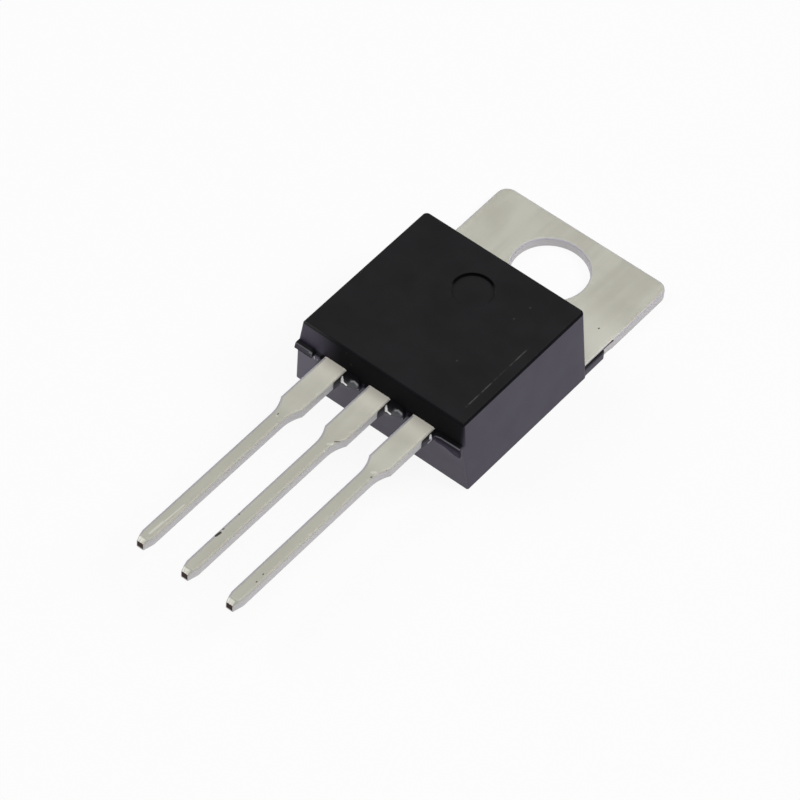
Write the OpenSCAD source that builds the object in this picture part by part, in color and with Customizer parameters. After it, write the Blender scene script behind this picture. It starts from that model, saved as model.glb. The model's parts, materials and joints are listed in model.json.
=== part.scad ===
// Three-lead power regulator in a moulded package, lying on its flat back.
// The origin is the centre of the mounting hole, on the back face.
// X runs across the body, Y from the lead tips towards the tab, Z up to the marked face.

/* [Moulded body] */
// How far each side of the body stands out past the tab's edge, at the back face
body_over = 0.16; // [0.1:0.01:0.4]
// Length of the body from its rear face to its parting edge at the front
body_len = 9.1; // [8.6:0.1:9.6]
// Height of the body
body_h = 4.4; // [4.2:0.05:4.8]
// How far each side leans in between the back face and the marked face
side_draft = 0.42; // [0.1:0.02:0.5]
// How far the front leans back from the parting edge up to the marked face
front_draft = 0.12; // [0.04:0.02:0.3]
// How far the front leans back from the parting edge down to the back face
back_draft = 0.32; // [0.1:0.02:0.4]
// How far the rear face leans in between the back face and the marked face
rear_draft = 0.15; // [0.04:0.01:0.3]
// Radius of the two rear upright corners
corner_r = 0.22; // [0.12:0.02:0.34]
// Radius of the two front upright corners
front_corner_r = 0.1; // [0.04:0.02:0.3]
// Radius along the edges of the marked face
edge_r = 0.1; // [0.04:0.02:0.16]

/* [Ejector pin mark] */
// Radius of the round mark
mark_r = 1.0; // [0.6:0.05:1.4]
// Depth of the round mark
mark_depth = 0.12; // [0.04:0.02:0.2]
// Distance of the mark's centre from the rear face
mark_back = 2.48; // [2.2:0.02:3.4]

/* [Resin round the leads] */
// How far the ledge at the leads stands out from the parting edge
ledge_out = 0.22; // [0.1:0.02:0.3]
// How far the top of the ledge lies below the top of the leads
ledge_drop = 0.06; // [0.02:0.02:0.12]
// Gap between the left lead and the end of the ledge beside it
ledge_gap = 0.66; // [0.3:0.02:0.8]
// How far the ledge deepens at its right end
ledge_dip = 0.2; // [0.05:0.01:0.25]
// Width of the rounded tongue on the right of the left lead, and of the centre lead
tongue_w = 0.94; // [0.7:0.02:1.1]
// How far a tongue stands out from the parting edge
tongue_out = 0.34; // [0.22:0.02:0.5]
// How far the resin runs out along each side of a lead
gusset_len = 0.9; // [0.5:0.05:1.2]
// Width of that resin where it leaves the body
gusset_w = 0.26; // [0.14:0.02:0.4]
// Height of that resin up the side of the lead
gusset_h = 0.32; // [0.2:0.02:0.44]

/* [Tab] */
// Width of the tab
tab_w = 9.72; // [9.4:0.02:10.2]
// Distance from the hole's centre to the far edge of the tab
tab_reach = 2.8; // [2.65:0.05:2.95]
// Length of the tab outside the body
tab_len = 6.45; // [6.2:0.05:6.6]
// Diameter of the mounting hole
hole_d = 3.78; // [3.5:0.01:3.85]
// Radius of the tab's two far corners
tab_corner_r = 0.6; // [0.3:0.05:0.9]
// Depth of the shallow notch in each side of the tab
notch_depth = 0.12; // [0.06:0.01:0.2]
// Length of that notch outside the body
notch_len = 2.1; // [1.7:0.1:2.4]
// Length of the resin that fills the start of the notch
wing_len = 1.4; // [0.8:0.1:1.6]

/* [Metal strip] */
// Thickness of the strip that the tab and all leads are cut from
strip_t = 0.51; // [0.46:0.01:0.6]
// Height of the underside of the leads above the back face
lead_z = 2.68; // [2.4:0.02:2.8]
// Inside radius of the bends in the centre lead
bend_r = 0.35; // [0.2:0.05:0.45]
// Angle at which the centre lead climbs from the pad
bend_a = 60; // [50:1:70]

/* [Leads] */
// Distance between the middles of two neighbouring leads
pitch = 2.54; // [2.5:0.01:2.6]
// Length of the leads outside the body
lead_len = 13.3; // [12.5:0.1:14]
// Width of a lead next to the body
wide_w = 1.25; // [1.15:0.01:1.32]
// Length of that wide stretch outside the body
wide_len = 3.05; // [2.6:0.05:3.9]
// Length over which a lead narrows
shoulder_len = 1.1; // [0.8:0.1:1.4]
// Width of a lead's narrow stretch
narrow_w = 0.68; // [0.62:0.01:0.88]
// Width of a lead at its tip
tip_w = 0.4; // [0.3:0.02:0.5]
// Length over which a lead tapers to its tip
tip_len = 0.55; // [0.3:0.05:0.9]
// Thickness of a lead at its tip
tip_t = 0.38; // [0.3:0.01:0.44]
// Length of the bevel on top of the tip
tip_bevel = 0.3; // [0.15:0.05:0.5]

/* [Inside the body] */
// Width of the die pad
pad_w = 8; // [7:0.1:8.8]
// Width of the step under the pad's edges that the resin grips
pad_step = 0.2; // [0.1:0.02:0.3]
// Depth of the groove across the strip that keeps damp out
groove_d = 0.13; // [0.08:0.01:0.18]
// Width of the centre lead where it leaves the pad
root_w = 2; // [1.6:0.1:2.2]
// Width of the bond post on each outer lead
post_w = 2.4; // [2:0.1:2.5]
// Length of the bond post
post_len = 1.6; // [1.3:0.1:1.8]
// Distance from the body's front to the bond post
post_in = 0.75; // [0.5:0.05:0.9]
// How far the post stands out past the lead on the side away from the centre
post_over = 0.72; // [0.6:0.02:0.8]
// Diameter of the hole that locks each post in the resin
lock_d = 0.6; // [0.4:0.05:0.7]
// Width of the silicon die
die_w = 2.5; // [2:0.1:3]
// Length of the silicon die
die_len = 2.1; // [1.8:0.1:2.4]
// Thickness of the silicon die
die_t = 0.28; // [0.2:0.01:0.36]
// Thickness of the solder under the die
solder_t = 0.05; // [0.03:0.01:0.08]
// How far the solder stands out round the die
solder_rim = 0.1; // [0.05:0.01:0.2]
// Diameter of the bond wires
wire_d = 0.13; // [0.1:0.01:0.16]

/* [Hidden] */

resin = [0.14, 0.14, 0.16];
plating = [0.75, 0.74, 0.7];
solder = [0.6, 0.6, 0.63];
silicon = [0.3, 0.32, 0.38];
bright_wire = [0.85, 0.83, 0.8];

// Places that follow from the sizes above
body_w = tab_w + 2 * body_over;
body_rear = tab_reach - tab_len;
body_front = body_rear - body_len;
lead_tip = body_front - lead_len;
lead_top = lead_z + strip_t;
notch_end = body_rear + notch_len;
post_front = body_front + post_in;
post_back = post_front + post_len;

// How far cutters and buried ends run past the face they meet, and how finely curves are divided
past = 0.5;
slab_t = 0.01;
corner_steps = 6;
edge_steps = 4;
bend_steps = 8;
shoulder_steps = 8;
round_sides = 96;

// Where the strip narrows to the pad, and where the centre lead widens to its root
neck_in = 0.5;
neck_len = 0.25;
pad_taper = 0.5;
root_taper = 0.5;
post_cut = 0.3;
lock_in = 0.6;

// The centre lead's two bends, with u measured along -Y
bend_out = 2 * bend_r + strip_t;
climb = lead_z - bend_out * (1 - cos(bend_a));
upper_bend_u = -post_front;
lower_bend_u = upper_bend_u - bend_out * sin(bend_a) - climb / tan(bend_a);
pad_front = -lower_bend_u;

// How a lead narrows: the higher the power, the sooner
shoulder_power = 2.2;

// The ledge: its top, the radius of its edge and of its ends, and the run of its dip
ledge_top = lead_top - ledge_drop;
ledge_foot = ledge_top - strip_t;
ledge_edge_r = 0.055;
ledge_chin = 0.07;
ledge_end_r = 0.36;
dip_start = 0.71;
dip_run = 0.71;

// The tongues: where the face meets the slope above it, how far the face leans, and the end's radius
tongue_brow = lead_z + strip_t / 2;
tongue_lean = 0.03;
tongue_r = tongue_w / 3;

// The thinnest resin on a lead's side, and how far a wing stays inside the body's side
film = 0.04;
wing_in = 0.02;

// The die, and where the bond wires stand on it and on the strip
die_y = (body_rear + pad_front) / 2;
solder_top = strip_t + solder_t;
die_top = solder_top + die_t;
bond_in = 0.5;
post_bond_in = 0.45;
feet_gap = 0.6;
bond_x = die_w / 2 - bond_in;
bond_y = die_len / 2 - bond_in;
post_bond_y = post_back - post_bond_in;
ground_bond_y = die_y - die_len / 2 - solder_rim - post_bond_in;
wire_rise = 0.6;
foot_flare = 1.8;
wire_rings = 14;
wire_sides = 8;

// Half width, front and rear of the body's outline at height z
function side_x(z) = body_w / 2 - side_draft * z / body_h;
function front_y(z) = body_front + (z > lead_z ? front_draft * (z - lead_z) / (body_h - lead_z)
                                               : back_draft * (lead_z - z) / lead_z);
function rear_y(z) = body_rear - rear_draft * z / body_h;

// Points along an arc, and a rectangle with round corners made of four of them
function arc(c, r, a0, a1, n) = [for (i = [0:n]) let (a = a0 + (a1 - a0) * i / n) c + r * [cos(a), sin(a)]];
function round_rect(x, y0, y1, r0, r1) = concat(
    arc([x - r0, y0 + r0], r0, -90, 0, corner_steps), arc([x - r1, y1 - r1], r1, 0, 90, corner_steps),
    arc([r1 - x, y1 - r1], r1, 90, 180, corner_steps), arc([r0 - x, y0 + r0], r0, 180, 270, corner_steps));

// Eased step from 0 to 1, a list taken from its end, and an outline's other half
function ease(u) = u * u * (3 - 2 * u);
function reversed(list) = [for (i = [len(list) - 1:-1:0]) list[i]];
function mirrored(list) = [for (p = reversed(list)) [-p[0], p[1]]];

// Extrudes a (y, z) outline along X, and an (x, z) outline along Y
module along_x(width) {
    rotate([90, 0, 90]) linear_extrude(height = width, center = true) children();
}

module along_y(y0, y1) {
    translate([0, y1, 0]) rotate([90, 0, 0]) linear_extrude(height = y1 - y0) children();
}

// One thin layer of the body, with its top at height z
module body_slab(z, inset) {
    translate([0, 0, z - slab_t]) linear_extrude(height = slab_t)
        polygon(round_rect(side_x(z) - inset, front_y(z) + inset, rear_y(z) - inset,
                           front_corner_r, corner_r));
}

module body_block() {
    hull() {
        body_slab(slab_t, 0);
        body_slab(lead_z, 0);
        for (i = [0:edge_steps]) {
            a = 90 * i / edge_steps;
            body_slab(body_h - edge_r * (1 - sin(a)), edge_r * (1 - cos(a)));
        }
    }
}

// Section of the ledge: a rounded top edge over a face that falls back below
module ledge_section() {
    face = body_front - ledge_out;
    chin_z = ledge_foot - ledge_dip;
    polygon(concat(
        [[body_front + past, chin_z], [body_front - ledge_chin, chin_z], [face, ledge_top - strip_t / 2]],
        reversed(arc([face + ledge_edge_r, ledge_top - ledge_edge_r], ledge_edge_r, 90, 180, edge_steps)),
        [[body_front + past, ledge_top]]));
}

// The ledge seen from the front: a bar on the left, and one that dips on the right
module ledge_front() {
    left_end = -pitch - wide_w / 2 - ledge_gap;
    right_start = pitch + wide_w / 2;
    dip_x = right_start + dip_start;
    polygon([[-side_x(ledge_foot), ledge_foot], [left_end, ledge_foot],
             [left_end, ledge_top], [-side_x(ledge_top), ledge_top]]);
    polygon(concat(
        [[right_start, ledge_foot]],
        [for (i = [0:corner_steps])
            [dip_x + dip_run * i / corner_steps, ledge_foot - ledge_dip * ease(i / corner_steps)]],
        [[side_x(ledge_foot), ledge_foot - ledge_dip], [side_x(ledge_top), ledge_top]],
        arc([right_start + ledge_end_r, ledge_top - ledge_end_r], ledge_end_r, 90, 180, corner_steps)));
}

module ledge() {
    intersection() {
        along_x(body_w) ledge_section();
        along_y(body_front - ledge_out - past, body_front + past / 2) ledge_front();
    }
}

// Section of a tongue: a face that leans as the body does, and a slope from it back up to the body
module tongue_section() {
    face = body_front - tongue_out;
    polygon([[body_front + past, lead_z], [face + tongue_lean, lead_z], [face, tongue_brow],
             [body_front, ledge_top], [body_front + past, ledge_top]]);
}

// The tongues seen from the front, each from its lead's right side to a rounded end
module tongues_front() {
    for (k = [-1, 0]) {
        translate([k * pitch + wide_w / 2, 0]) polygon(concat(
            [[-past, lead_z], [tongue_w, lead_z]],
            arc([tongue_w - tongue_r, ledge_top - tongue_r], tongue_r, 0, 90, corner_steps),
            [[-past, ledge_top]]));
    }
}

module tongues() {
    intersection() {
        along_x(body_w) tongue_section();
        along_y(body_front - tongue_out - past, body_front + past / 2) tongues_front();
    }
}

// Resin that clings to the two sides of each lead as it leaves the body
module gussets() {
    root_x = wide_w / 2 + gusset_w;
    end_x = wide_w / 2 + film;
    side = [[end_x, -gusset_len], [root_x, -gusset_w / 2], [root_x, past / 2]];
    for (k = [-1:1]) {
        translate([k * pitch, body_front, lead_z]) linear_extrude(height = gusset_h)
            polygon(concat(side, mirrored(side)));
    }
}

// Resin that fills the start of the notch on the right. It is part of the moulding, but a node
// of its own, so that the convex shape round the body in a simulation stays clear of the tab.
module notch_resin() {
    inner = tab_w / 2 - notch_depth;
    outer = side_x(strip_t) - wing_in;
    round_r = outer - inner;
    wing_end = body_rear + wing_len;
    intersection() {
        linear_extrude(height = strip_t) polygon(concat(
            [[inner, body_rear - past], [outer, body_rear - past]],
            arc([inner, wing_end - round_r], round_r, 0, 90, corner_steps)));
        along_x(body_w)
            polygon([[rear_y(0), 0], [wing_end, 0], [wing_end, strip_t], [rear_y(strip_t), strip_t]]);
    }
}

module left_notch_resin() {
    color(resin) mirror([1, 0, 0]) notch_resin();
}

module right_notch_resin() {
    color(resin) notch_resin();
}

module mould_body() {
    color(resin) difference() {
        union() {
            body_block();
            ledge();
            tongues();
            gussets();
        }
        translate([0, body_rear - mark_back, body_h - mark_depth])
            cylinder(r = mark_r, h = mark_depth + past, $fn = round_sides);
        tab_and_centre_lead();
        left_lead();
        right_lead();
        die_solder();
        silicon_die();
        left_bond_wire();
        right_bond_wire();
        sense_bond_wire();
        ground_bond_wire();
    }
}

// Right side of a lead from the body to its tip: wide, then narrow, then tapered
function shoulder_x(v) = narrow_w / 2 + (wide_w - narrow_w) / 2 * pow(1 - v, shoulder_power);
function lead_side() = concat(
    [[wide_w / 2, body_front], [wide_w / 2, body_front - wide_len]],
    [for (i = [1:shoulder_steps]) let (v = i / shoulder_steps)
        [shoulder_x(v), body_front - wide_len - shoulder_len * v]],
    [[narrow_w / 2, lead_tip + tip_len], [tip_w / 2, lead_tip]]);

// Right side of the tab, its neck, the die pad and the centre lead, from the far edge
function strip_side() = concat(
    reversed(arc([tab_w / 2 - tab_corner_r, tab_reach - tab_corner_r], tab_corner_r, 0, 90, corner_steps)),
    [[tab_w / 2, notch_end], [tab_w / 2 - notch_depth, notch_end - notch_depth],
     [tab_w / 2 - notch_depth, body_rear - neck_in], [pad_w / 2, body_rear - neck_in - neck_len],
     [pad_w / 2, pad_front + pad_taper], [root_w / 2, pad_front],
     [root_w / 2, post_front + root_taper], [wide_w / 2, post_front]],
    lead_side());

// Side view of the strip: flat tab and pad, two bends, then the lead with its bevelled tip
function bend_pair(low_r, high_r) = concat(
    [for (i = [0:bend_steps]) let (a = bend_a * i / bend_steps)
        [-(lower_bend_u + low_r * sin(a)), strip_t + bend_r - low_r * cos(a)]],
    [for (i = [0:bend_steps]) let (a = bend_a * (1 - i / bend_steps))
        [-(upper_bend_u - high_r * sin(a)), lead_z - bend_r + high_r * cos(a)]]);
function tip_profile() = [[lead_tip, lead_z], [lead_tip, lead_z + tip_t], [lead_tip + tip_bevel, lead_top]];
function strip_profile() = concat(
    [[tab_reach, 0]],
    bend_pair(bend_r + strip_t, bend_r),
    tip_profile(),
    reversed(bend_pair(bend_r, bend_r + strip_t)),
    [[tab_reach, strip_t]]);

// The step cut under one edge of the pad
module pad_undercut() {
    along_y(pad_front, body_rear - neck_in)
        polygon([[pad_w / 2, pad_step], [pad_w / 2 - pad_step, 0], [pad_w / 2 - pad_step, -past],
                 [pad_w / 2 + past, -past], [pad_w / 2 + past, pad_step]]);
}

module tab_and_centre_lead() {
    side = strip_side();
    color(plating) difference() {
        intersection() {
            along_x(tab_w + past) polygon(strip_profile());
            translate([0, 0, -past]) linear_extrude(height = body_h) polygon(concat(side, mirrored(side)));
        }
        translate([0, 0, -past]) cylinder(d = hole_d, h = strip_t + 2 * past, $fn = round_sides);
        pad_undercut();
        mirror([1, 0, 0]) pad_undercut();
        translate([0, body_rear - neck_in, strip_t]) along_x(tab_w + past)
            polygon([[-groove_d, past], [-groove_d, 0], [0, -groove_d], [groove_d, 0], [groove_d, past]]);
    }
}

// The right lead: a bond post inside the body, and the straight lead outside
module outer_lead() {
    leg = lead_side();
    post_x1 = wide_w / 2 + post_over;
    post_x0 = post_x1 - post_w;
    post_outer = [[post_x1 - post_cut, post_back], [post_x1, post_back - post_cut], [post_x1, post_front]];
    post_inner = [[post_x0, post_front], [post_x0, post_back - post_cut], [post_x0 + post_cut, post_back]];
    translate([pitch, 0, 0]) difference() {
        intersection() {
            along_x(2 * post_w)
                polygon(concat([[post_back, lead_z]], tip_profile(), [[post_back, lead_top]]));
            linear_extrude(height = body_h)
                polygon(concat(post_outer, leg, mirrored(leg), post_inner));
        }
        translate([0, post_front + lock_in, lead_z - past])
            cylinder(d = lock_d, h = strip_t + 2 * past, $fn = round_sides);
    }
}

module left_lead() {
    color(plating) mirror([1, 0, 0]) outer_lead();
}

module right_lead() {
    color(plating) outer_lead();
}

module die_solder() {
    color(solder) translate([0, die_y, strip_t + solder_t / 2])
        cube([die_w + 2 * solder_rim, die_len + 2 * solder_rim, solder_t], center = true);
}

module silicon_die() {
    color(silicon) translate([0, die_y, solder_top + die_t / 2])
        cube([die_w, die_len, die_t], center = true);
}

// A bond wire from point a to point b: an arch that starts and lands upright on a flared foot
module bond_wire(a, b) {
    peak = max(a[2], b[2]) + wire_rise;
    lift_a = [a[0], a[1], peak];
    lift_b = [b[0], b[1], peak];
    across = [a[1] - b[1], b[0] - a[0], 0] / norm([b[0] - a[0], b[1] - a[1]]);
    path = [for (i = [0:wire_rings]) let (t = ease(i / wire_rings), s = 1 - t)
        s * s * s * a + 3 * s * s * t * lift_a + 3 * s * t * t * lift_b + t * t * t * b];
    way = [for (i = [0:wire_rings]) let (t = ease(i / wire_rings), s = 1 - t)
        s * s * (lift_a - a) + 2 * s * t * (lift_b - lift_a) + t * t * (b - lift_b)];
    points = [for (i = [0:wire_rings])
        let (out = cross(way[i] / norm(way[i]), across),
             r = wire_d / 2 * (i == 0 || i == wire_rings ? foot_flare : 1))
        for (j = [0:wire_sides - 1]) let (a = 360 * j / wire_sides)
            path[i] + r * (cos(a) * across + sin(a) * out)];
    skin = [for (i = [0:wire_rings - 1]) for (j = [0:wire_sides - 1])
        let (k = (j + 1) % wire_sides, low = i * wire_sides, high = low + wire_sides)
            [low + j, low + k, high + k, high + j]];
    first = [for (j = [wire_sides - 1:-1:0]) j];
    last = [for (j = [0:wire_sides - 1]) wire_rings * wire_sides + j];
    polyhedron(points, concat([first], skin, [last]));
}

module left_bond_wire() {
    color(bright_wire) bond_wire([-bond_x, die_y - bond_y, die_top], [-pitch, post_bond_y, lead_top]);
}

module right_bond_wire() {
    color(bright_wire) bond_wire([bond_x, die_y - bond_y, die_top], [pitch, post_bond_y, lead_top]);
}

module sense_bond_wire() {
    color(bright_wire)
        bond_wire([bond_x, die_y + bond_y, die_top], [pitch + feet_gap, post_bond_y, lead_top]);
}

module ground_bond_wire() {
    color(bright_wire) bond_wire([0, die_y - bond_y, die_top], [0, ground_bond_y, strip_t]);
}

mould_body();
left_notch_resin();
right_notch_resin();
tab_and_centre_lead();
left_lead();
right_lead();
die_solder();
silicon_die();
left_bond_wire();
right_bond_wire();
sense_bond_wire();
ground_bond_wire();
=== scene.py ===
"""Looks of a three-lead power regulator that lies on its flat back: skins, finishes, light and camera."""
import json
import math

import bmesh
import bpy
import numpy as np
from mathutils import Matrix, Vector


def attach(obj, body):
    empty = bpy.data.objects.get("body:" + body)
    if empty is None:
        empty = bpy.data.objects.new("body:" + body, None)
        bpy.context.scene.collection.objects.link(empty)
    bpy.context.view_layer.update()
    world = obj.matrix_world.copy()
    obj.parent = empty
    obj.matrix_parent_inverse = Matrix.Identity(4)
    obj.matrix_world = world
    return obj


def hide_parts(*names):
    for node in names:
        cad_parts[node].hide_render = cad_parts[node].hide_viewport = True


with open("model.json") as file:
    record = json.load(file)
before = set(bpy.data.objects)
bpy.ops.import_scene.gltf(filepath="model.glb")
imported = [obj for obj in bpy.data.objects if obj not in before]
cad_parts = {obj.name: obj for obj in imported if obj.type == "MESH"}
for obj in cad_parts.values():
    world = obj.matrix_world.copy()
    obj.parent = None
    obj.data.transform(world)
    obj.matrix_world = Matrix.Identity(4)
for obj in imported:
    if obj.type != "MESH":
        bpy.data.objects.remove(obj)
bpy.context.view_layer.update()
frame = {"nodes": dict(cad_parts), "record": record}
MM = 0.001

# Sizes in millimetres: those of the solids, but for small differences at the notches, ledge and tongues
BODY_W, BODY_H, BODY_REAR, BODY_FRONT = 10.04, 4.4, -3.65, -12.75
SIDE_DRAFT, FRONT_DRAFT, BACK_DRAFT, REAR_DRAFT = 0.42, 0.12, 0.32, 0.15
REAR_CORNER_R, FRONT_CORNER_R, EDGE_R = 0.22, 0.1, 0.1
MARK_R, MARK_DEPTH, MARK_BACK, MARK_LIP = 1.0, 0.12, 2.48, 0.025
TAB_W, TAB_REACH, HOLE_D, TAB_CORNER_R = 9.72, 2.8, 3.78, 0.6
NOTCH_DEPTH, NOTCH_RUN, NOTCH_END, FILL_LEN, FILL_IN = 0.04, 0.35, -1.5, 1.4, 0.02
NECK_W = TAB_W - 2 * NOTCH_DEPTH
STRIP_T, LEAD_Z, BEND_R, BEND_A = 0.51, 2.68, 0.35, 60
PITCH, LEAD_LEN, WIDE_W, WIDE_LEN, SHOULDER_LEN, SHOULDER_POWER = 2.54, 13.3, 1.25, 3.05, 1.1, 2.2
NARROW_W, TIP_W, TIP_LEN, TIP_T, TIP_BEVEL = 0.68, 0.4, 0.55, 0.38, 0.3
PAD_W, PAD_STEP, ROOT_W, POST_W, POST_LEN, POST_IN, POST_OVER = 8, 0.2, 2, 2.4, 1.6, 0.75, 0.72
LEDGE_TOP, LEDGE_OUT, LEDGE_GAP, LEDGE_DIP, DIP_START, DIP_RUN = 3.13, 0.22, 0.6, 0.12, 0.71, 0.71
LEFT_BAR_FOOT, RIGHT_BAR_FOOT, BAR_END_R = 2.76, 2.69, 0.36
WEB_LEN, WEB_W, WEB_H, WEB_FILM, WEB_RISE, WEB_POWER = 0.9, 0.26, 0.32, 0.04, 0.08, 1.6
TONGUE_W, TONGUE_LEAN = 0.94, 0.06
# How far a tongue stands out, at places along it
TONGUE_REACH = ([0, 0.3, 0.55, 0.72, 0.88, 0.95], [0.62, 0.56, 0.48, 0.4, 0.32, 0.28])

# Rolled edges of the metal, small roundings of the resin, and how far its back keeps above the metal's
ROLL_W, ROLL_H, BURR, TIP_EDGE = 0.14, 0.06, 0.02, 0.015
LEDGE_EDGE_R, LEDGE_LOW_R, BROW_R = 0.05, 0.02, 0.012
BACK_GAP = 0.012
# How far bars, tongues and webs run into the body, and how far inside it the tab and the pad meet
ROOTED, JOINT_IN = 0.15, 0.5
# Edges that turn by more degrees than this look sharp
SHARP_ANGLE = 32
LEAD_TIP = BODY_FRONT - LEAD_LEN
NARROW_EDGE = -NARROW_W / 2

# Small marks, each a line from one place to another and how far it reaches: dark nicks and pale rubs on
# the plating, with a line of painted shade along the tab's neck, a scratch and specks on the resin, a
# painted highlight on the ledge's rims and painted shade at its foot, and pale flecks painted bright as
# glints
NICKS_AND_EDGE_SHADE = [((3.89, -1.39, 0.51), (3.9, -1.36, 0.51), 0.07),
         ((NARROW_EDGE + 0.09, -23.66, 3.18), (NARROW_EDGE + 0.12, -23.42, 3.18), 0.13),
         ((-0.25, -23.2, 3.19), (-0.23, -23.15, 3.19), 0.06),
         ((-0.27, -22.1, 3.19), (-0.25, -22.1, 3.19), 0.06),
         ((2.65, -23.95, 3.19), (2.65, -23.9, 3.19), 0.05),
         ((2.7, -24.45, 3.19), (2.7, -24.4, 3.19), 0.05),
         ((0.3, -16.25, 3.19), (0.6, -15.95, 3.18), 0.05),
         ((2.78, -16.75, 3.19), (2.8, -16.7, 3.19), 0.06),
         ((3.05, -16, 3.18), (3.2, -15.85, 3.17), 0.05),
         ((-2.6, -16.7, 3.19), (-2.6, -16.65, 3.19), 0.05),
         # The last is a line of painted shade along the edge of the tab's neck, behind the notch
         ((NECK_W / 2, NOTCH_END - 0.7, 0.49), (NECK_W / 2, NOTCH_END, 0.49), 0.07)]
RUBS = [((-2.4, -23.3, 3.19), (-2.44, -24.5, 3.19), 0.06),
        ((-2.47, -24.6, 3.19), (-2.5, -25.45, 3.18), 0.1),
        ((0.15, -16.55, 3.19), (0.3, -16.4, 3.19), 0.09),
        ((0.3, -16.95, 3.19), (0.35, -16.95, 3.19), 0.07),
        ((2.65, -16.5, 3.19), (2.75, -16.4, 3.19), 0.12),
        ((-2.6, -16.8, 3.19), (-2.55, -16.8, 3.19), 0.06)]
SCRATCHES = [((4.01, -7.15, 4.4), (4.01, -11.7, 4.4), 0.045)]
SPECKS = [((2.6, -5.28, 4.4), (2.6, -5.26, 4.4), 0.08),
          ((2.45, -6.27, 4.4), (2.45, -6.25, 4.4), 0.08),
          ((2.05, -9.88, 4.4), (2.05, -9.85, 4.4), 0.07),
          ((-2.05, -12.64, 4.2), (-2.04, -12.64, 4.2), 0.06),
          ((-1.72, -12.68, 3.7), (-1.71, -12.68, 3.7), 0.08)]
LEDGE_RIM_HIGHLIGHT = [((-4.85, BODY_FRONT - 0.2, 3.12), (-3.77, BODY_FRONT - 0.2, 3.12), 0.06),
             ((-3.77, BODY_FRONT - 0.2, 3.1), (-3.77, BODY_FRONT - 0.2, 2.8), 0.06),
             ((3.36, BODY_FRONT - 0.22, 2.98), (3.45, BODY_FRONT - 0.18, 3.02), 0.06),
             ((3.45, BODY_FRONT - 0.18, 3.02), (3.65, BODY_FRONT - 0.17, 3.07), 0.06),
             ((3.65, BODY_FRONT - 0.17, 3.07), (4.9, BODY_FRONT - 0.17, 3.1), 0.06)]
LEDGE_FOOT_SHADE = [((-4.85, BODY_FRONT - 0.2, 2.77), (-3.77, BODY_FRONT - 0.2, 2.77), 0.12)]
FLECK_GLINTS = [((3.29, BODY_FRONT - 0.38, 2.95), (3.3, BODY_FRONT - 0.37, 2.83), 0.06),
          ((3.3, BODY_FRONT - 0.37, 2.83), (3.255, BODY_FRONT - 0.54, 2.745), 0.05),
          ((-3.76, BODY_FRONT, 2.7), (-3.76, BODY_FRONT, 2.5), 0.04),
          ((-3.6, BODY_FRONT, 2.6), (-3.58, BODY_FRONT, 2.6), 0.04)]
# The same beside every lead, with X from the lead's right side: a torn edge painted bright as a glint, and
# a painted highlight on the rim of a tongue
TORN_EDGE_GLINT = [((0.02, BODY_FRONT - 0.3, 3.05), (0.1, BODY_FRONT - 0.4, 3.03), 0.065),
             ((0.1, BODY_FRONT - 0.4, 3.03), (0.17, BODY_FRONT - 0.48, 2.97), 0.1),
             ((0.17, BODY_FRONT - 0.48, 2.97), (0.42, BODY_FRONT - 0.49, 2.94), 0.06)]
TONGUE_RIM_HIGHLIGHT = [((0.5, BODY_FRONT - 0.25, 3.03), (0.6, BODY_FRONT - 0.18, 3.06), 0.06),
              ((0.6, BODY_FRONT - 0.18, 3.06), (0.8, BODY_FRONT - 0.2, 3.02), 0.07),
              ((0.8, BODY_FRONT - 0.2, 3.02), (0.94, BODY_FRONT - 0.25, 2.8), 0.07)]
# The way from the middle of the pin mark to the part of its rim that lies in shade
MARK_SHADE = (-0.588, 0.809, 0)


# Shader sums

class Wire:
    """One output of a shader node. Sums written on wires add Math nodes; `node` adds any other node."""

    def __init__(self, tree, socket=None):
        self.tree, self.socket = tree, socket

    def node(self, kind, settings, sockets, output=0):
        """Adds a node: first its settings, then the values or wires of its sockets."""
        made = self.tree.nodes.new(kind)
        for name, value in settings.items():
            setattr(made, name, value)
        for name, value in sockets.items():
            if isinstance(value, Wire):
                self.tree.links.new(value.socket, made.inputs[name])
            else:
                made.inputs[name].default_value = value
        return Wire(self.tree, made.outputs[output] if made.outputs else None)

    def math(self, operation, *values):
        return self.node("ShaderNodeMath", {"operation": operation}, dict(enumerate(values)))

    def __add__(self, other):
        return self.math("ADD", self, other)

    def __sub__(self, other):
        return self.math("SUBTRACT", self, other)

    def __rsub__(self, other):
        return self.math("SUBTRACT", other, self)

    def __mul__(self, other):
        return self.math("MULTIPLY", self, other)

    def __abs__(self):
        return self.math("ABSOLUTE", self)

    __radd__ = __add__
    __rmul__ = __mul__

    def between(self, low, high):
        """0 below `low`, 1 above `high`, eased in between; the other way round if low is above high."""
        return self.node("ShaderNodeMapRange", {"interpolation_type": "SMOOTHSTEP"},
                         {"Value": self, "From Min": low, "From Max": high})

    def tint(self, dark, light):
        """The colour that runs from `dark` to `light` as this level runs from 0 to 1."""
        colours = {key: c if isinstance(c, Wire) else (*c, 1) for key, c in ((6, dark), (7, light))}
        return self.node("ShaderNodeMix", {"data_type": "RGBA"}, {0: self, **colours}, 2)


def start_finish(name):
    """A new material with its surface shader, and the place on the piece in millimetres."""
    finish = bpy.data.materials.new(name)
    finish.use_nodes = True
    tree = finish.node_tree
    tree.nodes.clear()
    root = Wire(tree)
    place = root.node("ShaderNodeTexCoord", {}, {}, "Object")
    place_mm = root.node("ShaderNodeVectorMath", {"operation": "SCALE"}, {0: place, "Scale": 1 / MM})
    return finish, root, place_mm


def end_finish(root, sockets):
    """Gives the surface shader its values and joins it to the material's output."""
    shader = root.node("ShaderNodeBsdfPrincipled", {}, sockets)
    root.node("ShaderNodeOutputMaterial", {}, {"Surface": shader})


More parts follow.
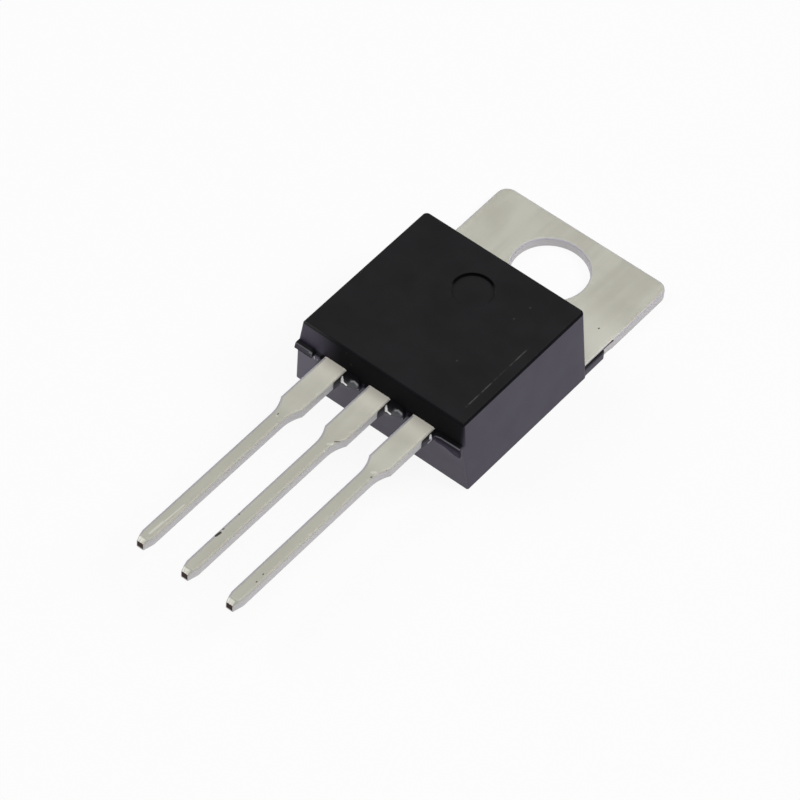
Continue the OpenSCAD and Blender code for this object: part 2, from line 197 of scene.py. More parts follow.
def noise(place, scale, detail=2.0, stretch=(1, 1, 1), shift=(0, 0, 0)):
    """Cloudy noise with `scale` clouds to a millimetre, squeezed along each axis by `stretch`."""
    laid = place.node("ShaderNodeMapping", {"vector_type": "POINT"},
                      {"Vector": place, "Scale": stretch, "Location": shift})
    return place.node("ShaderNodeTexNoise", {}, {"Vector": laid, "Scale": scale, "Detail": detail}, "Fac")


def axes_of(vector):
    """The three parts of a vector."""
    return [vector.node("ShaderNodeSeparateXYZ", {}, {0: vector}, i) for i in range(3)]


def facing(root):
    """The three parts of the direction that the surface faces."""
    return axes_of(root.node("ShaderNodeTexCoord", {}, {}, "Normal"))


def bump(root, strength, height):
    """Tilts the surface a little as `height` rises and falls."""
    return root.node("ShaderNodeBump", {}, {"Strength": strength, "Distance": 0.01 * MM, "Height": height})


# Finishes

def near_line(place, start, end, reach):
    """1 on the line from `start` to `end`, falling to 0 at `reach` millimetres from it."""
    start, end = Vector(start), Vector(end)
    run = end - start
    off = place.node("ShaderNodeVectorMath", {"operation": "SUBTRACT"}, {0: place, 1: start})
    share = place.node("ShaderNodeVectorMath", {"operation": "DOT_PRODUCT"},
                       {0: off, 1: run / run.length_squared}, "Value")
    share = share.node("ShaderNodeClamp", {}, {"Value": share})
    foot = place.node("ShaderNodeVectorMath", {"operation": "SCALE"}, {0: tuple(run), "Scale": share})
    gap = place.node("ShaderNodeVectorMath", {"operation": "DISTANCE"}, {0: off, 1: foot}, "Value")
    return gap.between(reach, 0)


def most(first, *others):
    """The largest of several levels."""
    for other in others:
        first = first.math("MAXIMUM", first, other)
    return first


def marks(place, lines):
    """1 on any of the lines, each given by its two ends and its reach, and 0 away from them."""
    return most(*[near_line(place, *line) for line in lines])


def resin_finish():
    """Matt black moulded epoxy with a fine grain. The sides shine more, with a violet tinge, and a glow is
    painted on the front's left; the front above the ledge and the ledge's faces cut in trimming are rough
    and dark. The resin is torn where trimming cut it beside the leads, and is painted pale and bright
    there
    as glints. Also painted: highlights on the rims of the ledge and the tongues, sheen on the front and
    its upright corners, light on the resin that stands out beside the leads and on the tongues' slopes,
    and shade along the left bar's foot and round the shaded side of the pin mark's rim; a dull, dark skin
    stands in for shade beside the bar's end."""
    finish, root, place = start_finish("moulded_epoxy")
    x, y, z = axes_of(place)
    across, ahead, up = facing(root)
    grain = noise(place, 9, 3)
    cloud = noise(place, 0.7, 2, shift=(3, 1, 5))
    level = cloud.between(0.3, 0.7)

    # Where the resin is shiny, dull or dark
    upright = abs(up).between(0.75, 0.35)
    side = upright * z.between(BODY_H - 0.07, BODY_H - 0.14)
    upper = y.between(BODY_FRONT + 0.3, BODY_FRONT + 0.2) * z.between(2.9, 3.1)
    upper = upper * x.between(-4.2, -2.2) * x.between(4.95, 4.5)
    ledge = y.between(BODY_FRONT - 0.05, BODY_FRONT - 0.12) * upright
    left_bar = ledge * x.between(-3.72, -3.77) * z.between(2.7, 2.8)
    right_bar = ledge * x.between(3.32, 3.46) * z.between(3.06, 3.02)
    edge = abs(up).between(0.999, 0.95) * z.between(BODY_H - 0.15, BODY_H - 0.1) * x.between(3.5, 4.5)
    # Painted shade: a dull, dark skin stands in for the shade beside the left bar's end
    crease_shade = y.between(BODY_FRONT + 0.1, BODY_FRONT) * z.between(2.75, 2.9) * z.between(3.35, 3.1)
    crease_shade = crease_shade * x.between(-3.95, -3.8) * x.between(-3.0, -3.1)
    from_mark = root.node("ShaderNodeVectorMath", {"operation": "SUBTRACT"},
                          {0: place, 1: (0, BODY_REAR - MARK_BACK, BODY_H)})
    radius = root.node("ShaderNodeVectorMath", {"operation": "LENGTH"}, {0: from_mark}, "Value")
    in_shade = root.node("ShaderNodeVectorMath", {"operation": "DOT_PRODUCT"},
                         {0: from_mark, 1: MARK_SHADE}, "Value")
    # A crescent of painted shade round the pin mark's rim, on its shaded side; it is made dull too
    mark = radius.between(MARK_R - 0.08, MARK_R - 0.03) * radius.between(MARK_R + 0.06, MARK_R + 0.02)
    mark = mark * in_shade.between(0.15, 0.5)
    # A line of painted shade under the left bar's foot
    foot = marks(place, LEDGE_FOOT_SHADE)
    dull = most(upper, 0.8 * right_bar, edge, 0.6 * left_bar, crease_shade, mark, foot)

    # Colours: the marked face, the sides, the front below the ledge with a painted glow, sheen and
    # highlights, then the resin beside the leads with painted light, glints and shade
    colour = level.tint((0.0035, 0.0034, 0.0045), (0.005, 0.0049, 0.0064))
    scratch = marks(place, SCRATCHES) * noise(place, 2.2, 2, (1, 1.5, 1), (7, 2, 0)).between(0.3, 0.65)
    shade = (0.9 * scratch).tint(colour, (0.09, 0.088, 0.09))
    shade = (0.5 * marks(place, SPECKS)).tint(shade, (0.06, 0.06, 0.055))
    shade = (side * (1 - dull)).tint(shade, level.tint((0.0095, 0.007, 0.018), (0.0125, 0.009, 0.0228)))
    low_front = ahead.between(-0.5, -0.9) * z.between(2.95, 2.75)
    shade = low_front.tint(shade, (0.0175, 0.0135, 0.0245))
    # Painted sheen on the front below the right bar
    shade = (low_front * z.between(1.6, 2.4) * x.between(2.9, 3.9)).tint(shade, (0.038, 0.033, 0.053))
    # A painted glow on the front's left
    shade = (low_front * x.between(-1.9, -4.6)).tint(shade, (0.075, 0.069, 0.092))
    # Painted highlights on the upright corners of the front
    corner_highlight = across.between(0.15, 0.35) * across.between(0.98, 0.9) * ahead.between(-0.15, -0.35)
    shade = (corner_highlight * z.between(2.7, 2.5)).tint(shade, (0.06, 0.055, 0.065))
    shade = left_bar.tint(shade, (0.046, 0.045, 0.053))
    # Painted light: the resin standing far out beside the leads is made lighter, as if lit
    shade = y.between(BODY_FRONT - 0.3, BODY_FRONT - 0.45).tint(shade, (0.035, 0.037, 0.04))
    off = x.math("WRAP", x - WIDE_W / 2, PITCH - WIDE_W / 2, -WIDE_W / 2)
    # Painted light: the slope of each tongue, away from the lead, is made as light as a lit face
    slope = off.between(0.35, 0.5) * up.between(0.2, 0.5)
    slope = slope * y.between(BODY_FRONT - 0.12, BODY_FRONT - 0.22)
    shade = (slope * z.between(2.8, 2.9) * x.between(2.2, 1.9)).tint(shade, (0.09, 0.093, 0.1))
    beside_lead = root.node("ShaderNodeCombineXYZ", {}, {0: off, 1: y, 2: z})
    # A painted highlight along the rim of each tongue
    shade = (0.4 * x.between(2.2, 1.9) * marks(beside_lead, TONGUE_RIM_HIGHLIGHT)).tint(shade, (0.75, 0.75, 0.76))
    # A painted highlight along the rims of the ledge's bars
    shade = marks(place, LEDGE_RIM_HIGHLIGHT).tint(shade, (0.2, 0.19, 0.22))
    # Torn resin beside each lead, painted pale and bright as a glint
    shade = marks(beside_lead, TORN_EDGE_GLINT).between(0.15, 0.55).tint(shade, (0.86, 0.85, 0.84))
    # Pale flecks, painted bright as glints
    shade = marks(place, FLECK_GLINTS).between(0.1, 0.6).tint(shade, (0.7, 0.68, 0.7))
    # Painted shade: near black in the pin mark's crescent and under the left bar's foot
    shade = most(mark, foot).tint(shade, (0.0005, 0.0005, 0.0008))

    # One skin for the marked face, one for the sides and one for the dull places
    common = {"Base Color": shade, "Normal": bump(root, 0.35, grain)}
    gloss = 0.44 + 0.12 * cloud
    top_skin, side_skin, dull_skin = (
        root.node("ShaderNodeBsdfPrincipled", {}, {**common, **own}) for own in (
            {"Roughness": gloss, "Specular IOR Level": 0.42},
            {"Roughness": gloss, "Specular IOR Level": 0.68, "Specular Tint": (0.82, 0.72, 1, 1)},
            {"Roughness": 0.85, "Specular IOR Level": 0.12}))
    mixed = root.node("ShaderNodeMixShader", {}, {0: side, 1: top_skin, 2: side_skin})
    mixed = root.node("ShaderNodeMixShader", {}, {0: dull, 1: mixed, 2: dull_skin})
    root.node("ShaderNodeOutputMaterial", {}, {"Surface": mixed})
    return finish


def plating_finish():
    """Satin tin plating over copper: cloudy on top, greyer on the cut sides, dull on the rolled edges,
    bare at the lead tips, with a few nicks and rubs. Light is painted on the top and the sides near the
    body, dark brown shade and reflection on the leads' sides next to it, and a line of shade along the
    tab's neck."""
    finish, root, place = start_finish("tin_plating")
    x, y, z = axes_of(place)
    across, _, up = facing(root)
    cloud = noise(place, 0.35, 3, shift=(1, 4, 2))
    streak = noise(place, 2.5, 2, stretch=(1, 0.1, 1))
    fine = noise(place, 14, 2)
    level = (0.75 * cloud + 0.25 * streak).between(0.38, 0.62)

    # The top, painted brighter near the body and at the leads' roots to make up for the body's shadow, and
    # darker along the narrow leads
    near_body_light = y.between(0.6, -2.8) * y.between(-8, -4) * (0.55 + 0.45 * x.between(-1, 4))
    narrow = y.between(BODY_FRONT - WIDE_LEN, BODY_FRONT - WIDE_LEN - 1)
    top = level.tint((0.64, 0.625, 0.54), (0.72, 0.71, 0.62))
    top = near_body_light.tint(top, (0.93, 0.92, 0.81))
    top = (0.8 * narrow).tint(top, (0.6, 0.59, 0.505))
    root_light = y.between(BODY_FRONT - 1.5, BODY_FRONT - 0.2) * y.between(BODY_FRONT + 1, BODY_FRONT)
    top = (0.9 * root_light).tint(top, (0.93, 0.89, 0.78))

    # The cut sides, painted lighter next to the body to make up for its shadow, and the rolled edges
    sides = y.between(BODY_FRONT - 1.8, BODY_FRONT - 1).tint((0.56, 0.545, 0.555), (0.68, 0.675, 0.67))
    sides = y.between(BODY_REAR - 0.2, BODY_REAR).tint(sides, (0.56, 0.545, 0.555))
    colour = abs(up).between(0.5, 0.95).tint(sides, top)
    on_lead = y.between(BODY_FRONT, BODY_FRONT - 0.1) * up.between(0.2, 0.5)
    colour = (across.between(-0.01, -0.15) * on_lead).tint(colour, (0.54, 0.525, 0.555))
    right_roll = across.between(0.1, 0.4) * on_lead
    colour = right_roll.tint(colour, (0.5, 0.49, 0.43))
    on_tab = y.between(BODY_REAR - 0.1, BODY_REAR + 0.1)
    rolled = on_tab * up.between(0.99, 0.93) * up.between(0.1, 0.3)
    colour = rolled.tint(colour, (0.52, 0.505, 0.55))

    # Painted shade and reflection, dark brown, on the leads' sides next to the body; the bevelled tips and
    # their bare cut ends
    side_shade_and_reflection = y.between(BODY_FRONT - 0.95, BODY_FRONT - 0.85) * abs(up).between(0.6, 0.3)
    side_shade_and_reflection = side_shade_and_reflection * y.between(BODY_FRONT + 1, BODY_FRONT + 0.5)
    colour = side_shade_and_reflection.tint(colour, (0.06, 0.04, 0.03))
    off = x.math("WRAP", x, PITCH / 2, -PITCH / 2)
    bevel = y.between(LEAD_TIP + TIP_BEVEL + 0.02, LEAD_TIP + TIP_BEVEL - 0.02) * up.between(0.6, 0.8)
    colour = bevel.tint(colour, (0.46, 0.45, 0.39))
    worn = bevel * y.between(LEAD_TIP + 0.26, LEAD_TIP + 0.2) * off.between(0.17, 0.11)
    colour = worn.tint(colour, (0.74, 0.73, 0.66))
    bare = y.between(LEAD_TIP + 0.03, LEAD_TIP + 0.01) * z.between(LEAD_Z + 0.05, LEAD_Z + 0.08)
    bare = bare * off.between(-0.17, -0.15) * off.between(0.185, 0.17)
    colour = bare.tint(colour, (0.036, 0.016, 0.011))
    dull = most(bare, rolled, right_roll)

    # Nicks, and a line of painted shade along the tab's neck
    colour = marks(place, NICKS_AND_EDGE_SHADE).between(0.3, 0.7).tint(colour, (0.07, 0.06, 0.055))
    colour = (0.75 * marks(place, RUBS)).tint(colour, (0.9, 0.89, 0.8))
    end_finish(root, {
        "Base Color": colour,
        "Metallic": 0.35 * (1 - dull),
        "Roughness": 0.4 + 0.15 * streak + 0.4 * dull,
        "Normal": bump(root, 0.25, fine),
    })
    return finish


def plain_finish(name, dark, light, metallic, roughness):
    """A finish for the pieces sealed in the resin: two close shades in clouds, and a faint grain."""
    finish, root, place = start_finish(name)
    cloud = noise(place, 2.5, 3)
    end_finish(root, {
        "Base Color": cloud.between(0.35, 0.65).tint(dark, light),
        "Metallic": metallic,
        "Roughness": roughness + 0.1 * cloud,
        "Normal": bump(root, 0.15, cloud),
    })
    return finish


# Shapes worked out on grids, in millimetres

def ring_faces(rows, columns, first):
    """Faces of a grid whose columns run round: each joins a point, the next and the two beyond them."""
    place = first + np.arange(rows * columns).reshape(rows, columns)
    beside = np.roll(place, -1, axis=1)
    return np.stack([place[:-1], beside[:-1], beside[1:], place[1:]], -1).reshape(-1, 4).tolist()


def add_piece(name, shells, *nodes):
    """A closed mesh that stands for CAD nodes. Each shell is a grid of points, round in its columns,
    and whether its first and last rows are closed with a face."""
    points, faces, first = [], [], 0
    for grid, capped in shells:
        rows, columns = grid.shape[:2]
        points.append(grid.reshape(-1, 3) * MM)
        faces += ring_faces(rows, columns, first)
        if capped:
            last = first + (rows - 1) * columns
            faces += [list(range(first, first + columns)), list(range(last, last + columns))]
        first += rows * columns
    mesh = bpy.data.meshes.new(name)
    mesh.from_pydata(np.concatenate(points), [], faces)
    work = bmesh.new()
    work.from_mesh(mesh)
    bmesh.ops.remove_doubles(work, verts=work.verts, dist=1e-8)
    bmesh.ops.recalc_face_normals(work, faces=work.faces)
    work.to_mesh(mesh)
    work.free()
    mesh.shade_smooth()
    mesh.set_sharp_from_angle(angle=math.radians(SHARP_ANGLE))
    made = bpy.data.objects.new(name, mesh)
    bpy.context.collection.objects.link(made)
    slots = {part["node"]: part["material_slot"] for part in frame["record"]["subparts"]}
    mesh.materials.append(FINISHES[slots[nodes[0]]])
    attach(made, "root")
    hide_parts(*nodes)


def arc(count, start=0.0, end=90.0):
    """Cosines and sines of evenly spaced angles."""
    a = np.radians(np.linspace(start, end, count))
    return np.cos(a), np.sin(a)


def along(*stops):
    """Values that run straight between (value, points after it) stops."""
    parts = [np.linspace(a, b, n, endpoint=False) for (a, n), (b, _) in zip(stops, stops[1:])]
    return np.concatenate(parts + [[stops[-1][0]]])


def side_x(z):
    """Half width of the body at height z: it leans in by the same amount all the way up."""
    return BODY_W / 2 - SIDE_DRAFT * z / BODY_H


def front_y(z):
    """Front of the body at height z: furthest out at the leads, leaning back above and below them."""
    return BODY_FRONT + np.where(z > LEAD_Z, FRONT_DRAFT * (z - LEAD_Z) / (BODY_H - LEAD_Z),
                                 BACK_DRAFT * (LEAD_Z - z) / LEAD_Z)


def rear_y(z):
    """Rear of the body at height z."""
    return BODY_REAR - REAR_DRAFT * z / BODY_H


def round_box(z, inset):
    """Rings of a box with round upright corners, one for each height: four quarter circles joined by
    straight sides, all drawn in by `inset`."""
    x, y0, y1 = side_x(z) - inset, front_y(z) + inset, rear_y(z) - inset
    corners = []
    for turn, side, end, r in ((-90, 1, y0, FRONT_CORNER_R), (0, 1, y1, REAR_CORNER_R),
                               (90, -1, y1, REAR_CORNER_R), (180, -1, y0, FRONT_CORNER_R)):
        c, s = arc(12, turn, turn + 90)
        inward = r if end is y0 else -r
        corners.append(np.stack([side * (x - r)[:, None] + r * c,
                                 (end + inward)[:, None] + r * s], -1))
    rows = []
    step = np.linspace(0, 1, 16)[1:-1, None]
    for here, beyond in zip(corners, corners[1:] + corners[:1]):
        rows += [here, here[:, -1:] + step * (beyond[:, :1] - here[:, -1:])]
    ring = np.concatenate(rows, 1)
    return np.concatenate([ring, np.broadcast_to(z[:, None, None], (*ring.shape[:2], 1))], -1)


def body_skin():
    """The block: rings from the back face up its leaning sides and over its rounded edges, then flat
    rings that turn from the box's outline into the circle of the pin mark, then down into the mark."""
    c, s = arc(9)
    low_c, low_s = c[::2], s[::2]
    back_r, wall_lean = 0.03, 0.005
    flanks = along((0.12, 5), (LEAD_Z - 0.03, 1), (LEAD_Z, 1), (LEAD_Z + 0.03, 5),
                   (BODY_H - EDGE_R - 0.02, 1), (BODY_H - EDGE_R, 1))[:-1]
    z = np.concatenate([BACK_GAP + back_r * (1 - low_c), flanks, BODY_H - EDGE_R * (1 - s)])
    inset = np.concatenate([back_r * (1 - low_s), 0 * flanks, EDGE_R * (1 - c)])
    sides = round_box(z, inset)
    rim = sides[-1]
    middle = np.array([0, BODY_REAR - MARK_BACK, BODY_H])
    way = rim - middle
    way = way / np.linalg.norm(way, axis=1, keepdims=True)
    edge = middle + (MARK_R + MARK_LIP) * way
    share = np.array([0.01, 0.15, 0.3, 0.5, 0.7, 0.85, 0.94, 0.985])[:, None, None]
    top = rim + share * (edge - rim)
    wall = MARK_R - wall_lean
    radius = np.concatenate([MARK_R + MARK_LIP * (1 - s), [wall], wall - MARK_LIP * low_s,
                             along((0.9, 4), (0, 1)) * (MARK_R - 2 * MARK_LIP)])
    drop = np.concatenate([MARK_LIP * (1 - c), [MARK_DEPTH - MARK_LIP], MARK_DEPTH - MARK_LIP * low_c,
                           np.full(5, MARK_DEPTH)])
    mark = middle + radius[:, None, None] * way - drop[:, None, None] * np.array([0, 0, 1])
    back = sides[:1] * np.array([0.5, 0.5, 1]) + np.array([0, sides[0, :, 1].mean() * 0.5, 0])
    return np.concatenate([back, sides, top, mark]), True


def bar(x, top, foot, tilt):
    """A bar across the front. For each place along X it has a section: out of the body at its foot, up a
    face that falls back by `tilt` towards a rounded top edge, and back into the body. Its outer end
    follows the lean of the body's side, just inside it."""
    c, s = arc(7)
    low_c, low_s = arc(4)
    top, foot = (np.broadcast_to(v, x.shape)[:, None] for v in (top, foot))
    face = np.linspace(0, 1, 7)[1:-1]
    low, high = foot + LEDGE_LOW_R, top - LEDGE_EDGE_R
    z = np.concatenate([foot, foot + LEDGE_LOW_R * (1 - low_s[::-1]), low + (high - low) * face,
                        high + LEDGE_EDGE_R * s, top], 1)
    inward = np.concatenate([[0], LEDGE_LOW_R * (1 - low_c[::-1]), tilt * face,
                             tilt + LEDGE_EDGE_R * (1 - c), [0]])
    y = BODY_FRONT - LEDGE_OUT + inward + 0 * z
    y[:, [0, -1]] = BODY_FRONT + ROOTED
    run, inside = 0.3, 0.004
    lean = np.clip((np.abs(x) - side_x(LEDGE_TOP) + run) / run, 0, 1)[:, None] * np.sign(x)[:, None]
    wide = x[:, None] + lean * (side_x(z) - side_x(LEDGE_TOP) - inside)
    return np.stack([wide, y, z], -1), True


def bars():
    """The bar of the ledge on the left, and the one on the right that starts at the lead and dips."""
    half = WIDE_W / 2
    left = along((-side_x(LEDGE_TOP), 10), (-PITCH - half - LEDGE_GAP, 1))
    yield bar(left, LEDGE_TOP, LEFT_BAR_FOOT, tilt=0.03)
    a = along((-0.02, 12), (0.36, 6), (0.7, 24), (side_x(LEDGE_TOP) - PITCH - half, 1))
    dip = np.clip((a - DIP_START) / DIP_RUN, 0, 1)
    start = np.clip(1 - a / BAR_END_R, 0, 1)
    top = LEDGE_TOP - BAR_END_R * (1 - np.sqrt(1 - start * start))
    foot = RIGHT_BAR_FOOT - LEDGE_DIP * dip * dip * (3 - 2 * dip)
    yield bar(PITCH + half + a, top, foot, tilt=0.05)


def tongues():
    """A tongue on the right of the left lead and of the centre lead: its face stands out less and less
    along it, a slope runs from the face's brow back up to the body, and the end is rounded."""
    a = along((-0.05, 30), (TONGUE_W - 0.08, 8), (TONGUE_W, 1))
    end_r = TONGUE_W / 3
    end = np.clip((a - TONGUE_W) / end_r + 1, 0, 1)[:, None]
    drop = end_r * (1 - np.sqrt(1 - end * end))
    out = np.interp(a, *TONGUE_REACH)[:, None]
    z = LEAD_Z + (LEDGE_TOP - drop - LEAD_Z) * np.linspace(0, 1, 17)
    brow = LEAD_Z + STRIP_T / 2
    face = out - TONGUE_LEAN * (brow - z) / (brow - LEAD_Z)
    slope = out * (LEDGE_TOP - z) / (LEDGE_TOP - brow)
    reach = -BROW_R * np.log(np.exp(-face / BROW_R) + np.exp(-slope / BROW_R))
    inside = np.full((len(a), 1), -ROOTED)
    y = BODY_FRONT - np.concatenate([inside, reach, inside], 1)
    for lead in (-PITCH, 0):
        x = lead + WIDE_W / 2 + a[:, None] + 0 * y
        yield np.stack([x, y, np.concatenate([z[:, :1], z, z[:, -1:]], 1)], -1), True


def webs():
    """Thin resin up both sides of each lead: its section gets narrower and lower away from the body."""
    u = along((-ROOTED, 2), (0, 12), (WEB_LEN - 0.03, 3), (WEB_LEN, 1))
    near = 1 - np.clip(u / WEB_LEN, 0, 1)[:, None]
    w = WEB_FILM + (WEB_W - WEB_FILM) * near ** WEB_POWER
    h = WEB_H + WEB_RISE * near
    c, s = arc(5)
    r = 0.45 * w
    x = np.concatenate([-0.05 + 0 * w, w - r + r * s, w - r + r * c, -0.05 + 0 * w], 1)
    z = np.concatenate([0 * w, r - r * c, h - r + r * s, h + 0 * w], 1)
    y = BODY_FRONT - u[:, None] + 0 * x
    for lead in (-PITCH, 0, PITCH):
        for side in (-1, 1):
            yield np.stack([lead + side * (WIDE_W / 2 + x), y, LEAD_Z + z], -1), True


def notch_resin(side):
    """Resin in the start of the tab's notch: a rounded bar whose end curves in to a thin edge."""
    inner, outer = TAB_W / 2 - NOTCH_DEPTH - 0.01, side_x(STRIP_T) - FILL_IN
    c, s = arc(9)
    end_r, thin = outer - inner, 0.004
    y = np.concatenate([along((BODY_REAR - 0.3, 8), (BODY_REAR + FILL_LEN - end_r, 1))[:-1],
                        BODY_REAR + FILL_LEN - end_r * (1 - s)])
    w = np.concatenate([np.full(8, end_r), end_r * c])[:, None] + thin
    r = 0.35 * w
    x = np.concatenate([0 * w, w - r + r * s[::2], w - r + r * c[::2], 0 * w], 1)
    z = np.concatenate([0 * w, r - r * c[::2], STRIP_T - r + r * s[::2], STRIP_T + 0 * w], 1)
    return np.stack([side * (inner + x), y[:, None] + 0 * x, z + BACK_GAP * (1 - z / STRIP_T)], -1), True


def strip_section(left, right, thick, burr):
    """Sections of the metal strip for arrays of its two edges, its thickness and the rounding under
    its edges: a flat back, upright cut sides, and top edges rolled over as a quarter of an ellipse."""
    left, right, thick, burr = (np.asarray(v, float)[:, None] for v in (left, right, thick, burr))
    middle, w = (left + right) / 2, (right - left) / 2
    c, s = arc(9)
    low_c, low_s = arc(4)
    near = 0.02
    x = np.concatenate([0 * w, 0.5 * w, w - burr - near, w - burr + burr * low_s, w, w,
                        w - ROLL_W + ROLL_W * c, w - ROLL_W - near, 0.4 * w, 0 * w], 1)
    v = np.concatenate([0 * w, 0 * w, 0 * w, burr - burr * low_c,
                        burr + 0.3 * (thick - burr), 0.5 * thick,
                        thick - ROLL_H + ROLL_H * s, thick, thick, thick], 1)
    across = np.concatenate([middle + x, (middle - x)[:, -2:0:-1]], 1)
    return across, np.concatenate([v, v[:, -2:0:-1]], 1)


def carry(path, up, x, v):
    """Sets sections upright on a path: each point goes `x` to the right and `v` along the path's up."""
    return path[:, None] + x[..., None] * np.array([1.0, 0, 0]) + v[..., None] * up[:, None]


def lead_stations():
    """Distances from the body's front at which a lead is drawn, with its half width and thickness:
    wide, then narrowing as a power of the way left, then straight, then tapered and bevelled."""
    narrow, taper, bevel = WIDE_LEN + SHOULDER_LEN, LEAD_LEN - TIP_LEN, LEAD_LEN - TIP_BEVEL
    u = np.concatenate([along((0, 10), (WIDE_LEN - 0.04, 1), (WIDE_LEN, 16), (narrow, 1)),
                        along((narrow + 0.06, 24), (taper - 0.03, 1), (taper + 0.03, 4), (bevel - 0.02, 1),
                              (bevel + 0.02, 5), (LEAD_LEN - 0.02, 1), (LEAD_LEN, 1))])
    left_over = np.clip(1 - (u - WIDE_LEN) / SHOULDER_LEN, 0, 1) ** SHOULDER_POWER
    w = NARROW_W / 2 + (WIDE_W - NARROW_W) / 2 * left_over
    w = w - (NARROW_W - TIP_W) / 2 * np.clip((u - taper) / TIP_LEN, 0, 1)
    thick = STRIP_T - (STRIP_T - TIP_T) * np.clip((u - bevel) / TIP_BEVEL, 0, 1)
    w[-1] -= TIP_EDGE
    return u, w, thick


def outer_lead(side):
    """An outer lead: its bond post inside the body, with cut corners, then the straight lead."""
    cut, half = 0.3, WIDE_W / 2
    back = -POST_IN - POST_LEN
    post_u = np.array([back, back + cut, -POST_IN - 0.01, -POST_IN, -0.01])
    out = half + POST_OVER
    near = out - POST_W
    post_far = np.array([out - cut, out, out, half, half])
    post_near = np.array([near + cut, near, near, -half, -half])
    u, w, thick = lead_stations()
    u = np.concatenate([post_u, u])
    right, left = np.concatenate([post_far, w]), np.concatenate([post_near, -w])
    thick = np.concatenate([np.full(5, STRIP_T), thick])
    if side < 0:
        left, right = -right, -left
    x, v = strip_section(left, right, thick, np.full(len(u), BURR))
    path = np.stack([np.full(len(u), side * PITCH), BODY_FRONT - u, np.full(len(u), LEAD_Z)], 1)
    return carry(path, np.tile([0.0, 0, 1], (len(u), 1)), x, v), True


def pad_and_centre_lead():
    """The strip from the tab's neck: the flat die pad with stepped sides, its front cut back to the
    lead's root, the climb of two bends and a straight between them, then the straight lead."""
    low_r, climb = BEND_R + STRIP_T, np.radians(BEND_A)
    bend_out = 2 * BEND_R + STRIP_T
    upper = -(BODY_FRONT + POST_IN)
    straight_rise = LEAD_Z - bend_out * (1 - np.cos(climb))
    lower = upper - bend_out * np.sin(climb) - straight_rise / np.tan(climb)
    neck, neck_run, front_run, root_run = JOINT_IN - BODY_REAR, 0.25, 0.5, 0.2
    flat_u = np.array([neck, neck + neck_run, lower - front_run, lower - 0.01])
    a = np.linspace(0, climb, 9)
    lead_u, lead_w, lead_t = lead_stations()
    straight_u = np.concatenate([[upper + root_run, upper + 0.5], lead_u - BODY_FRONT])
    y = -np.concatenate([flat_u, lower + low_r * np.sin(a), upper - BEND_R * np.sin(a[::-1]),
                         straight_u])
    z = np.concatenate([0 * flat_u, low_r * (1 - np.cos(a)), LEAD_Z - BEND_R * (1 - np.cos(a[::-1])),
                        LEAD_Z + 0 * straight_u])
    lean = np.concatenate([0 * flat_u, a, a[::-1], 0 * straight_u])
    w = np.concatenate([[NECK_W / 2, PAD_W / 2, PAD_W / 2, ROOT_W / 2],
                        np.full(2 * len(a), ROOT_W / 2), [0.8, WIDE_W / 2], lead_w])
    thick = np.concatenate([np.full(len(y) - len(lead_t), STRIP_T), lead_t])
    burr = np.where(np.arange(len(y)) < 3, PAD_STEP, BURR)
    x, v = strip_section(-w, w, thick, burr)
    up = np.stack([0 * lean, np.sin(lean), np.cos(lean)], 1)
    return carry(np.stack([0 * y, y, z], 1), up, x, v), True


def tab():
    """The tab round its hole: columns go round the outline and meet the hole at the same angle, rows go
    up the hole's wall, over its rolled edge, across the top, over the outer edge and back underneath."""
    half, neck = TAB_W / 2, NECK_W / 2
    joint = BODY_REAR - JOINT_IN
    c, s = arc(13)
    step = np.linspace(0, 1, 9)
    ease = step * step * (3 - 2 * step)
    right = np.concatenate([
        np.stack([along((0, 10), (neck, 1)), np.full(11, joint)], 1)[:-1],
        np.stack([np.full(13, neck), along((joint, 12), (NOTCH_END - NOTCH_RUN, 1))], 1)[:-1],
        np.stack([neck + NOTCH_DEPTH * ease, NOTCH_END - NOTCH_RUN * (1 - step)], 1)[:-1],
        np.stack([np.full(17, half), along((NOTCH_END, 16), (TAB_REACH - TAB_CORNER_R, 1))], 1)[:-1],
        np.stack([half - TAB_CORNER_R * (1 - c), TAB_REACH - TAB_CORNER_R * (1 - s)], 1)[:-1],
        np.stack([along((half - TAB_CORNER_R, 20), (0, 1)), np.full(21, TAB_REACH)], 1)])
    outline = np.concatenate([right, (right * [-1, 1])[-2:0:-1]])
    to_next = np.roll(outline, -1, 0) - outline
    cut = np.stack([to_next[:, 1], -to_next[:, 0]], 1)
    cut /= np.linalg.norm(cut, axis=1, keepdims=True)
    normal = cut + np.roll(cut, 1, 0)
    normal /= np.maximum((normal * cut).sum(1, keepdims=True), 0.5)
    free = (outline[:, 1:] > joint + 0.01).astype(float)
    around = outline / np.linalg.norm(outline, axis=1, keepdims=True)
    c, s = arc(9)
    low_c, low_s = arc(4)
    wall_in = np.concatenate([BURR * (1 - low_s), [0, 0], ROLL_W * (1 - c)])
    wall_z = np.concatenate([BURR * (1 - low_c), [0.3 * STRIP_T, 0.5 * STRIP_T],
                             STRIP_T - ROLL_H * (1 - s)])
    across = np.array([0.03, 0.2, 0.4, 0.6, 0.8, 0.97])
    share = np.concatenate([0 * wall_in, across, 0 * wall_in + 1, across[::-1], [0]])[:, None, None]
    inset = np.concatenate([wall_in, np.full(6, ROLL_W), wall_in[::-1], np.full(7, BURR)])
    z = np.concatenate([wall_z, np.full(6, STRIP_T), wall_z[::-1], np.zeros(7)])
    inset = inset[:, None, None]
    hole = (HOLE_D / 2 + inset) * around
    rim = outline - inset * normal * free
    flat = (1 - share) * hole + share * rim
    high = np.broadcast_to(z[:, None, None], (*flat.shape[:2], 1))
    return np.concatenate([flat, high], -1), False


# Stage, light and camera

